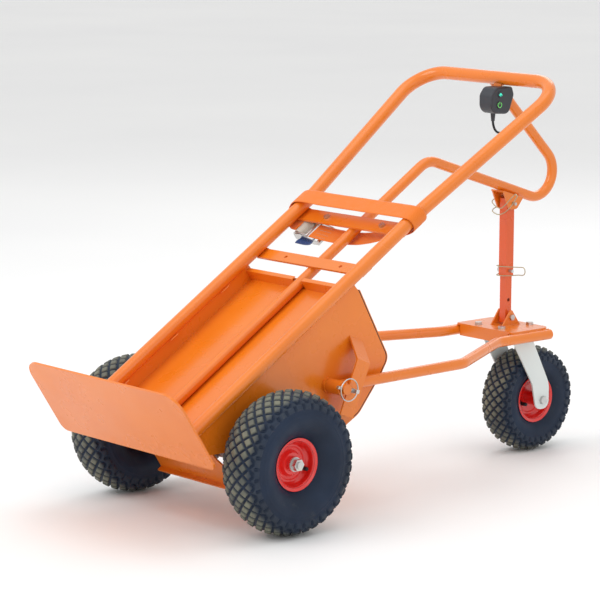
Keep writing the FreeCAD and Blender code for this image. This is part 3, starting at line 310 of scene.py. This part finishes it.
def sweep(centres, radii, sides=10, closed=False):
    """Rings of a tube along a line of points."""
    points = []
    side = None
    count = len(centres)
    for i, at in enumerate(centres):
        before = centres[i - 1] if closed or i else at
        after = centres[(i + 1) % count] if closed or i < count - 1 else at
        run = (after - before).normalized()
        side = run.orthogonal() if side is None else side - run * side.dot(run)
        side.normalize()
        other = run.cross(side)
        for k in range(sides):
            turn = 2 * pi * k / sides
            points.append(at + (side * cos(turn) + other * sin(turn)) * radii[i])
    faces = grid_faces(count, sides, wrap_rows=closed, wrap_columns=True)
    if not closed:
        faces.append(tuple(range(sides))[::-1])
        faces.append(tuple(range((count - 1) * sides, count * sides)))
    return points, faces


def join(parts):
    points, faces = [], []
    for some, these in parts:
        base = len(points)
        points += some
        faces += [tuple(i + base for i in face) for face in these]
    return points, faces


# ---- pod cable ---------------------------------------------------------------------------
BAR_Y = -0.6446 + 1.311 * cos(LEAN) - 0.0112 * sin(LEAN)
BAR_Z = 0.2175 + 1.311 * sin(LEAN) + 0.0112 * cos(LEAN)
POD_Y = BAR_Y - 0.016
POD_Z = BAR_Z - 0.051
CABLE_START = Vector((0.026, POD_Y - 0.002, POD_Z - 0.0523))


def make_cable():
    """Short lead from the pod's outlet to the loop of the centre tube."""
    route = [CABLE_START, CABLE_START + Vector((0, 0.003, -0.024)), CABLE_START + Vector((-0.006, 0.042, -0.034)),
             CABLE_START + Vector((-0.014, 0.082, -0.022)), Vector((0, BAR_Y + 0.1105, BAR_Z - 0.1255))]
    curve = bpy.data.curves.new("pod_cable_lead", "CURVE")
    curve.dimensions = "3D"
    curve.bevel_depth = 0.0028
    curve.bevel_resolution = 6
    curve.use_fill_caps = True
    spline = curve.splines.new("NURBS")
    spline.points.add(len(route) - 1)
    for point, at in zip(spline.points, route):
        point.co = (*at, 1)
    spline.order_u = 3
    spline.use_endpoint_u = True
    spline.resolution_u = 24
    curve.materials.append(MATERIALS["rubber"])
    lead = bpy.data.objects.new("pod_cable_lead", curve)
    bpy.context.scene.collection.objects.link(lead)
    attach(lead, "frame")
    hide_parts("pod_cable")


make_cable()


# ---- tyres -------------------------------------------------------------------------------
def arc_points(a, b, c, count):
    """Points on the circle through three profile points, from a to c."""
    (x1, y1), (x2, y2), (x3, y3) = a, b, c
    d = 2 * (x1 * (y2 - y3) + x2 * (y3 - y1) + x3 * (y1 - y2))
    ux = ((x1**2 + y1**2) * (y2 - y3) + (x2**2 + y2**2) * (y3 - y1) + (x3**2 + y3**2) * (y1 - y2)) / d
    uy = ((x1**2 + y1**2) * (x3 - x2) + (x2**2 + y2**2) * (x1 - x3) + (x3**2 + y3**2) * (x2 - x1)) / d
    r = math.hypot(x1 - ux, y1 - uy)
    t1, t2, t3 = (math.atan2(y - uy, x - ux) for x, y in (a, b, c))
    while t2 - t1 > pi:
        t2 -= 2 * pi
    while t2 - t1 < -pi:
        t2 += 2 * pi
    while t3 - t2 > pi:
        t3 -= 2 * pi
    while t3 - t2 < -pi:
        t3 += 2 * pi
    return [(ux + r * cos(t1 + (t3 - t1) * i / count), uy + r * sin(t1 + (t3 - t1) * i / count))
            for i in range(count + 1)]


def smooth_step(value, low, high):
    t = min(1.0, max(0.0, (value - low) / (high - low)))
    return t * t * (3 - 2 * t)


def make_tyre(name, node, body, centre, outer, half, blocks):
    """Pneumatic tyre with diamond blocks, shoulder lugs and rubbing ribs on the walls."""
    flange = 59.2
    bead, rise = 28.3, flange + 1.4
    bulge = (outer + flange) / 2
    shoulder_x, shoulder_r = half * 0.82, outer - (outer - flange) * 0.13
    wall = arc_points((bead, rise), (half, bulge), (shoulder_x, shoulder_r), 44)
    crown = arc_points((shoulder_x, shoulder_r), (0, outer), (-shoulder_x, shoulder_r), 72)
    right = wall + crown[1:]
    left = [(-x, r) for x, r in reversed(wall[:-1])]
    profile = [(bead, 51.4)] + right + left + [(-bead, 51.4)]
    # distance along the profile from the middle of the crown
    lengths = [0.0]
    for (x0, r0), (x1, r1) in zip(profile, profile[1:]):
        lengths.append(lengths[-1] + math.hypot(x1 - x0, r1 - r0))
    middle = lengths[-1] / 2
    pitch = 2 * pi * outer / blocks
    tread_edge = 2.0 * pitch
    # millimetres: the shoulder lugs' length, the groove's depth and its run-out, the wall ribs
    lug_length, groove, run_out = 13.0, 4.6, 26.0
    rib_height, rib_width = 0.9, 1.1
    steps_per_block = 14
    lug_edge = tread_edge + lug_length
    steps = blocks * steps_per_block
    points, shade = [], []
    for j in range(steps):
        turn = 2 * pi * j / steps
        u = turn * outer / pitch
        for i, (x, r) in enumerate(profile):
            v = (lengths[i] - middle) / pitch
            reach = abs(v * pitch)
            before, after = profile[max(0, i - 1)], profile[min(len(profile) - 1, i + 1)]
            nx, nr = after[1] - before[1], before[0] - after[0]
            size = math.hypot(nx, nr) or 1.0
            nx, nr = -nx / size, -nr / size
            if nx * x < 0 and abs(x) > 5 or (abs(x) <= 5 and nr < 0):
                nx, nr = -nx, -nr
            cut = 0.0
            top = 0.0
            if reach < tread_edge:
                lines = max(abs((u + v) % 1.0 - 0.5), abs((u - v) % 1.0 - 0.5))
                cut = smooth_step(lines, 0.5 - 0.185, 0.5 - 0.125)
                top = (1 - cut) * (1 - 0.9 * smooth_step(reach, tread_edge * 0.50, tread_edge * 0.92))
            elif reach < lug_edge:
                slot = abs((u + (0.0 if v > 0 else 0.5)) % 1.0 - 0.5)
                edge = smooth_step(reach, lug_edge - 3.0, lug_edge)
                cut = max(smooth_step(slot, 0.5 - 0.17, 0.5 - 0.11), edge) * (1 - 0.3 * edge)
                top = (1 - cut) * 0.08
            sink = cut * groove
            if reach >= lug_edge:
                sink = groove * 0.7 * (1 - smooth_step(reach, lug_edge, lug_edge + run_out))
                for rib_r in (flange + 7.5, flange + 12.0, bulge + 4.0):
                    rib = math.exp(-((r - rib_r) / rib_width) ** 2)
                    sink -= rib_height * rib * (0.0 if reach > middle - 9 else 1.0)
                sink = max(sink, 0.0)
            x2, r2 = x - nx * sink, r - nr * sink
            points.append(Vector((x2 / 1000, r2 * cos(turn) / 1000, r2 * sin(turn) / 1000)) + centre)
            shade.append(top)
    faces = grid_faces(steps, len(profile), wrap_rows=True)
    tyre = mesh_object(name, points, faces, "tyre", body)
    layer = tyre.data.attributes.new("tread", "FLOAT", "POINT")
    layer.data.foreach_set("value", shade)
    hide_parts(node)


LEFT_HUB = Vector((0.274, -0.42, 0.16))
RIGHT_HUB = Vector((-0.274, -0.42, 0.16))
CASTOR_HUB = Vector((0, 0.596, 0.1305))
make_tyre("tyre_left_treaded", "tyre_left", "wheel_left", LEFT_HUB, 160.0, 56.0, 34)
make_tyre("tyre_right_treaded", "tyre_right", "wheel_right", RIGHT_HUB, 160.0, 56.0, 34)
make_tyre("tyre_castor_treaded", "castor_tyre", "castor_wheel", CASTOR_HUB, 130.5, 43.0, 32)


def make_rim(name, node, body, centre, face):
    """Pressed rim with rolled lips; face is the side that its dished face looks to."""
    lip = [(28.7, 55.0), (28.9, 57.6), (29.6, 58.9), (30.3, 59.0), (30.9, 58.2), (30.9, 57.0), (30.0, 55.6),
           (28.6, 53.6), (27.2, 51.0), (25.6, 49.3), (22.0, 48.4), (15.5, 48.0), (13.2, 47.2), (10.6, 44.6),
           (8.6, 42.6)]
    disc = [(7.0, 41.4), (6.5, 40.6), (6.5, 36.6), (7.2, 35.6), (7.8, 34.4), (7.2, 33.0), (6.5, 32.2),
            (6.5, 17.05)]
    back = [(4.2, 17.05), (4.2, 39.6), (3.0, 41.2), (-8.6, 42.6)]
    profile = [(face * x, r) for x, r in lip + disc] + [(face * x, r) for x, r in back]
    profile += [(-face * x, r) for x, r in reversed(lip[:-1])]
    seat = [(28.6, 52.0), (27.2, 50.9), (13.0, 50.9), (8.0, 43.4)]
    profile += [(-face * x, r) for x, r in seat] + [(face * x, r) for x, r in reversed(seat)]
    steps = 128
    points = [centre + Vector((x, r * cos(2 * pi * k / steps), r * sin(2 * pi * k / steps))) / 1000
              for x, r in profile for k in range(steps)]
    faces = grid_faces(len(profile), steps, wrap_rows=True, wrap_columns=True)
    rim = mesh_object(name, points, faces, "red_paint", body)
    rim.data.set_sharp_from_angle(angle=radians(50))
    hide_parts(node)


make_rim("rim_left_pressed", "rim_left", "wheel_left", LEFT_HUB, 1)
make_rim("rim_right_pressed", "rim_right", "wheel_right", RIGHT_HUB, -1)
make_rim("rim_castor_pressed", "castor_rim", "castor_wheel", CASTOR_HUB, 1)


def make_valve(name, body, hub, side, turn):
    """Snap-in rubber valve with its cap, standing out through the rim's disc."""
    profile = [(4.0, 7.4), (7.0, 7.4), (8.5, 5.4), (16.0, 4.4), (17.0, 3.9), (17.6, 4.6), (28.0, 4.4), (29.4, 3.4),
               (29.6, 0.0)]
    axis = Vector((side, 0, 0))
    centre = hub + Vector((0, cos(turn), sin(turn))) * 0.033
    points = []
    for x, r in profile:
        for k in range(20):
            a = 2 * pi * k / 20
            ridged = r * (1 + (0.05 * (k % 2) if 18 < x < 29 else 0))
            points.append(centre + axis * (x / 1000) + Vector((0, cos(a), sin(a))) * (ridged / 1000))
    mesh_object(name, points, grid_faces(len(profile), 20, wrap_columns=True), "rubber", body)


make_valve("valve_left", "wheel_left", LEFT_HUB, 1, radians(-25))
make_valve("valve_right", "wheel_right", RIGHT_HUB, -1, radians(60))
make_valve("valve_castor", "castor_wheel", CASTOR_HUB, 1, radians(200))


# ---- welds -------------------------------------------------------------------------------
WELD_PITCH = 2.4  # millimetres from ripple to ripple


def bead(start, end, radius, pitch=WELD_PITCH):
    """One run of weld: overlapping ripples, fat in the middle and tapered at the ends."""
    run = end - start
    count = max(6, int(run.length * 1000 / pitch * 4))
    centres, radii = [], []
    for i in range(count + 1):
        t = i / count
        at = start + run * t
        ripple = 0.82 + 0.18 * abs(sin(pi * t * run.length * 1000 / pitch))
        taper = min(1.0, 0.35 + 6 * t, 0.35 + 6 * (1 - t))
        wander = noise.noise(at * 210) * 0.0004
        centres.append(at + Vector((wander, wander * 0.6, -wander)))
        radii.append(radius * ripple * taper)
    return sweep(centres, radii, 8)


def ring_bead(centre, axis, ring, radius, start=0.0, end=2 * pi):
    """Weld round a tube that meets a plate or another tube."""
    side = axis.orthogonal().normalized()
    other = axis.normalized().cross(side)
    count = 120
    centres, radii = [], []
    for i in range(count):
        turn = start + (end - start) * i / count
        at = centre + (side * cos(turn) + other * sin(turn)) * ring
        centres.append(at)
        ripple = 0.82 + 0.18 * abs(sin(turn * ring * 1000 / WELD_PITCH * pi))
        radii.append(radius * ripple * (1 + 0.15 * noise.noise(at * 160)))
    return sweep(centres, radii, 8, closed=True)


def make_welds():
    """Weld beads of the frame and the outrigger, on the seams where parts meet."""
    runs = []
    for side in (-1, 1):
        for s0, s1 in ((52, 86), (168, 196), (366, 400), (540, 572)):
            runs.append(bead(truck(side * 186.4, s0, -15.8), truck(side * 186.4, s1, -15.8), 0.0024))
        for s0, s1 in ((120, 150), (290, 318), (468, 498)):
            runs.append(bead(truck(side * 170.5, s0, -13.4), truck(side * 170.5, s1, -13.4), 0.0022))
        runs.append(ring_bead(truck(side * 185, 0.6, 0), ALONG, 0.0166, 0.0026))
        for s, half in ((622, 16), (773, 20)):
            for edge in (-1, 1):
                runs.append(bead(truck(side * 172, s + edge * half, -16.4), truck(side * 183, s + edge * half, -16.2),
                                 0.0022))
            runs.append(bead(truck(side * 184.6, s - half, -17.6), truck(side * 184.6, s + half, -17.6), 0.0024))
        runs.append(bead(truck(side * 181.4, 122.5, -236), truck(side * 181.4, 122.5, -216), 0.0022))
        runs.append(bead(truck(side * 11, 622 - 16, -22.2), truck(side * 11, 622 + 16, -22.2), 0.0018))
    runs.append(ring_bead(truck(0, 0.4, -33.5), ALONG, 0.0130, 0.0022))
    mesh_object("frame_welds", *join(runs), "orange_paint", "frame")
    feet = []
    for side in (-1, 1):
        for x in (15.6, 22.4):
            feet.append(bead(Vector((side * x / 1000, 0.487, 0.3224)), Vector((side * x / 1000, 0.545, 0.3224)),
                             0.0020))
        for y0, y1 in ((0.446, 0.476), (0.500, 0.530), (0.548, 0.570)):
            feet.append(bead(Vector((side * 0.0975, y0, 0.3165)), Vector((side * 0.0975, y1, 0.3165)), 0.0024))
    mesh_object("outrigger_welds", *join(feet), "orange_paint", "outrigger")


make_welds()


# ---- strap -------------------------------------------------------------------------------
# Middle line of the webbing: across, along and out of the rails, in millimetres.
STRAP_LINE = [(-163, 744, -22.8), (-186, 749, -23.5), (-199, 758, -17), (-204.5, 768, -6), (-204.5, 780, 6),
              (-198, 790, 16), (-186, 795, 19.4), (-90, 795, 19.6), (90, 795, 19.6), (186, 795, 19.4), (198, 797, 16),
              (204.5, 798, 6), (204.5, 798, -6), (199, 797, -17), (186, 795, -25), (106, 778, -41), (36, 760, -50.5),
              (-20, 751, -50.5), (-70, 746, -45), (-126, 744, -38)]


def smooth_line(points, step=2.5):
    """Catmull-Rom curve through the points, in even steps."""
    line = [Vector(p) for p in points]
    line = [line[0] * 2 - line[1]] + line + [line[-1] * 2 - line[-2]]
    fine = []
    for i in range(1, len(line) - 2):
        a, b, c, d = line[i - 1:i + 3]
        parts = max(2, int((c - b).length / step))
        # chord-length weights keep the curve from bulging where a long run meets a short one
        t1, t2, t3 = (b - a).length ** 0.5, (c - b).length ** 0.5, (d - c).length ** 0.5
        m1 = (c - b + ((b - a) / t1 - (c - a) / (t1 + t2)) * t2)
        m2 = (c - b + ((d - c) / t3 - (d - b) / (t2 + t3)) * t2)
        for k in range(parts):
            t = k / parts
            fine.append(b * (2 * t**3 - 3 * t**2 + 1) + m1 * (t**3 - 2 * t**2 + t) + c * (3 * t**2 - 2 * t**3)
                        + m2 * (t**3 - t**2))
    fine.append(line[-2])
    return fine


def make_strap():
    """The webbing, from the roll round both rails and back to the ratchet's bar."""
    line = smooth_line(STRAP_LINE)
    width, thick, across = 46.0, 1.9, 16
    columns = 2 * across + 2
    count = len(line)
    points, uvs = [], []
    travel = 0.0
    for i, at in enumerate(line):
        before, after = line[max(0, i - 1)], line[min(count - 1, i + 1)]
        run = Vector((after.x - before.x, 0, after.z - before.z)).normalized()
        out = Vector((-run.z, 0, run.x))
        if i:
            travel += (at - line[i - 1]).length
        front = at.z > 17
        for k in range(columns):
            face = 1 if k <= across else -1
            t = (k if k <= across else columns - 1 - k) / across
            w = (t - 0.5) * width
            edge = 1 - 0.55 * smooth_step(abs(t - 0.5), 0.44, 0.5)
            wave = noise.noise(Vector((at.x * 0.013, w * 0.02, 3.1 + (0 if front else 5))))
            bow = (0.5 if front else 0.25) * wave * (1 - 0.5 * (2 * t - 1) ** 2)
            ripple = 0.25 * noise.noise(Vector((at.x * 0.05, w * 0.12, 9.0)))
            off = max(-1.35, min(1.35, face * thick / 2 * edge + bow + ripple))
            spot = at + out * off
            points.append(truck(spot.x, spot.y + w, spot.z))
            uvs.append((travel / 1000, (w + 30) / 1000))
    faces = grid_faces(count, columns, wrap_columns=True)
    faces += [tuple(range(columns))[::-1], tuple(range((count - 1) * columns, count * columns))]
    strap = mesh_object("strap_woven", points, faces, "webbing", "frame")
    layer = strap.data.uv_layers.new(name="UVMap")
    for loop in strap.data.loops:
        layer.data[loop.index].uv = uvs[loop.vertex_index]
    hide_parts("strap_webbing")
    # rows of lock stitch where the webbing is sewn back round the ratchet's bar
    stitches = []
    for row in (-17, -6, 6, 17):
        for k in range(7):
            a = truck(-112 + k * 5.5, 744 + row, -40.4 - k * 0.66 + 2.2)
            b = truck(-112 + k * 5.5 + 3.6, 744 + row, -40.4 - (k + 0.65) * 0.66 + 2.2)
            stitches.append(sweep([a, (a + b) / 2 + OUT * 0.0002, b], [0.0003, 0.00045, 0.0003], 6))
    mesh_object("strap_stitches", *join(stitches), "webbing", "frame", material=MATERIALS["roll_webbing"])


make_strap()


def make_roll():
    """Spare webbing wound on the ratchet's spool, with the turns showing at its ends."""
    centre = truck(-160, 744, -37)
    count, columns = 96, 25
    side = Vector((1, 0, 0))
    points, uvs = [], []
    for i in range(count):
        turn = 2 * pi * i / count
        out = side * cos(turn) - OUT * sin(turn)
        for k in range(columns):
            t = k / (columns - 1)
            s = (t - 0.5) * 44
            round_off = 1.2 * smooth_step(abs(t - 0.5), 0.44, 0.5)
            uneven = 0.5 * noise.noise(Vector((cos(turn), sin(turn), t * 2)))
            r = 12.6 - round_off + 0.35 * sin(t * 2 * pi * 9) + uneven
            points.append(centre + out * (r / 1000) + ALONG * (s / 1000))
            uvs.append((turn * 0.0115, t * 0.044))
    ends = []
    for k, s in ((0, -22.0), (columns - 1, 22.0)):
        base = len(points)
        turns = 6
        for ring in range(turns * 2 + 1):
            r = 10.2 - (10.2 - 4.4) * ring / (turns * 2)
            sink = 0.5 if ring % 2 else 0.0
            for i in range(count):
                turn = 2 * pi * i / count
                out = side * cos(turn) - OUT * sin(turn)
                points.append(centre + out * (r / 1000) + ALONG * ((s - math.copysign(sink, s)) / 1000))
                uvs.append((turn * 0.0115, r / 1000))
        rows = turns * 2 + 1
        ends += [tuple(base + v for v in face) for face in grid_faces(rows, count, wrap_columns=True)]
        ends += [(i * columns + k, ((i + 1) % count) * columns + k, base + (i + 1) % count, base + i)
                 for i in range(count)]
    faces = grid_faces(count, columns, wrap_rows=True) + ends
    roll = mesh_object("webbing_roll", points, faces, "roll_webbing", "ratchet_spool")
    layer = roll.data.uv_layers.new(name="UVMap")
    for loop in roll.data.loops:
        layer.data[loop.index].uv = uvs[loop.vertex_index]
    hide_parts("ratchet_spool")


make_roll()


def make_tag():
    """Folded fabric tag sewn to the webbing beside the ratchet."""
    points, uvs = [], []
    rows, columns = 26, 14
    for layer_side in (1, -1):
        for i in range(rows):
            t = i / (rows - 1)
            for k in range(columns):
                w = k / (columns - 1)
                x = -150 + 44 * t
                s = 696 + 22 * w + 8 * t
                n = -40 - 7 * sin(pi * 0.8 * t) + 1.2 * sin(w * 5 + t * 4) + layer_side * 0.35
                points.append(truck(x, s, n))
                uvs.append((t * 0.045, w * 0.024))
    size = rows * columns
    faces = grid_faces(rows, columns)
    faces += [tuple(size + v for v in reversed(face)) for face in grid_faces(rows, columns)]
    rim = ([k for k in range(columns)] + [i * columns + columns - 1 for i in range(1, rows)]
           + [(rows - 1) * columns + k for k in range(columns - 2, -1, -1)]
           + [i * columns for i in range(rows - 2, 0, -1)])
    for here, after in zip(rim, rim[1:] + rim[:1]):
        faces.append((here, after, after + size, here + size))
    tag = mesh_object("strap_tag", points, faces, "webbing", "frame", material=BLUE_TAG)
    layer = tag.data.uv_layers.new(name="UVMap")
    for loop in tag.data.loops:
        layer.data[loop.index].uv = uvs[loop.vertex_index]


make_tag()


# ---- spring clips ------------------------------------------------------------------------
# Each line: across, forward and up from the clip's hinge in the head of its pin, in millimetres.
TOP_CLIP_LINE = [(0, 0, -3), (0, -3, -10), (2, -20, -15), (8, -30, -20), (28, -31, -26), (52, -31, -18),
                 (78, -31, 5), (98, -40, 22), (102, -41, 27), (97, -41, 31), (86, -39, 25), (58, -34, 3),
                 (36, -31, -10),
                 (16, -31, -5), (3, -27, 3), (0, -14, 9), (0, -3, 9), (0, 0, 3)]
POST_CLIP_LINE = [(0, 0, -3), (0, -3, -9), (2, -14, -12), (12, -18, -12), (45, -18.5, -9), (80, -19, -3),
                  (98, -19, -1), (103, -19, 4), (103, -19, 12), (98, -19, 17), (80, -19, 16), (45, -18.5, 13),
                  (12, -18, 11),
                  (2, -14, 11), (0, -3, 9), (0, 0, 3)]


def make_clip(name, node, line, hinge):
    """Bent spring wire that hangs in the head of its pin and hooks over the post."""
    centres = [hinge + at / 1000 for at in smooth_line(line, 2.0)]
    wire = mesh_object(name, *sweep(centres, [0.00125] * len(centres), 10), "zinc", node, material=YELLOW_ZINC)
    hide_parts(node)


make_clip("top_clip_wire", "top_clip", TOP_CLIP_LINE, Vector((-0.0275, 0.516, 0.622)))
make_clip("post_clip_wire", "post_clip", POST_CLIP_LINE, Vector((-0.020, 0.516, 0.456)))


# ---- pod symbols -------------------------------------------------------------------------
POD_FACE = 0.059


def make_symbols():
    """Lit marks on the two buttons: a ring with a bar, and a plain arrow head."""
    y, z = POD_Y - 0.014, POD_Z - 0.010
    x = POD_FACE + 0.0017
    arc = [Vector((x, y + 0.0062 * sin(a), z + 0.0062 * cos(a)))
           for a in (radians(38) + radians(284) * i / 40 for i in range(41))]
    bar = [Vector((x, y, z + 0.0018 + 0.0058 * i / 6)) for i in range(7)]
    mark = join([sweep(arc, [0.00055] * 41, 8), sweep(bar, [0.00055] * 7, 8)])
    mesh_object("power_mark", *mark, "power_key", "power_button", material=GREEN_LIGHT)
    y, z = POD_Y - 0.0115, POD_Z + 0.0145
    wings = []
    for side in (-1, 1):
        wing = [Vector((x, y + side * 0.0048 * t, z + 0.0032 - 0.0052 * t)) for t in (0, 0.33, 0.66, 1)]
        wings.append(sweep(wing, [0.0012] * 4, 8))
    wings.append(sweep([Vector((x, y, z + 0.0030 - 0.0075 * t)) for t in (0, 0.33, 0.66, 1)], [0.0011] * 4, 8))
    mesh_object("drive_mark", *join(wings), "drive_key", "drive_button", material=TEAL_LIGHT)


make_symbols()


# ---- studio ------------------------------------------------------------------------------
def make_studio():
    scene = bpy.context.scene
    world = bpy.data.worlds.new("studio")
    world.use_nodes = True
    world.node_tree.nodes["Background"].inputs["Color"].default_value = (1.0, 1.0, 1.0, 1)
    world.node_tree.nodes["Background"].inputs["Strength"].default_value = 0.84
    scene.world = world
    scene.view_settings.view_transform = "Standard"
    floor = bpy.data.meshes.new("floor")
    floor.from_pydata([(-60, -60, 0), (60, -60, 0), (60, 60, 0), (-60, 60, 0)], [], [(0, 1, 2, 3)])
    t = Tree("floor")
    t.colour(t.mix(t.span(t.noise(0.6, 2.0), 0, 1), (0.90, 0.90, 0.90), (0.93, 0.93, 0.925)))
    t.rough(t.span(t.noise(3.0, 3.0), 0.6, 0.75))
    floor.materials.append(t.material)
    ground = bpy.data.objects.new("floor", floor)
    scene.collection.objects.link(ground)
    for name, at, size, power in (("key", (-1.2, -4.2, 4.2), 3.0, 100), ("fill", (5.0, -0.6, 2.2), 3.0, 18),
                                  ("rim", (-2.5, 4.0, 3.5), 2.5, 34), ("top", (0.3, 0.2, 4.5), 3.0, 30)):
        data = bpy.data.lights.new(name, "AREA")
        data.shape = "SQUARE"
        data.size = size
        data.energy = power
        light = bpy.data.objects.new(name, data)
        light.location = at
        light.rotation_euler = (Vector((0, 0, 0.4)) - Vector(at)).to_track_quat("-Z", "Y").to_euler()
        scene.collection.objects.link(light)


make_studio()
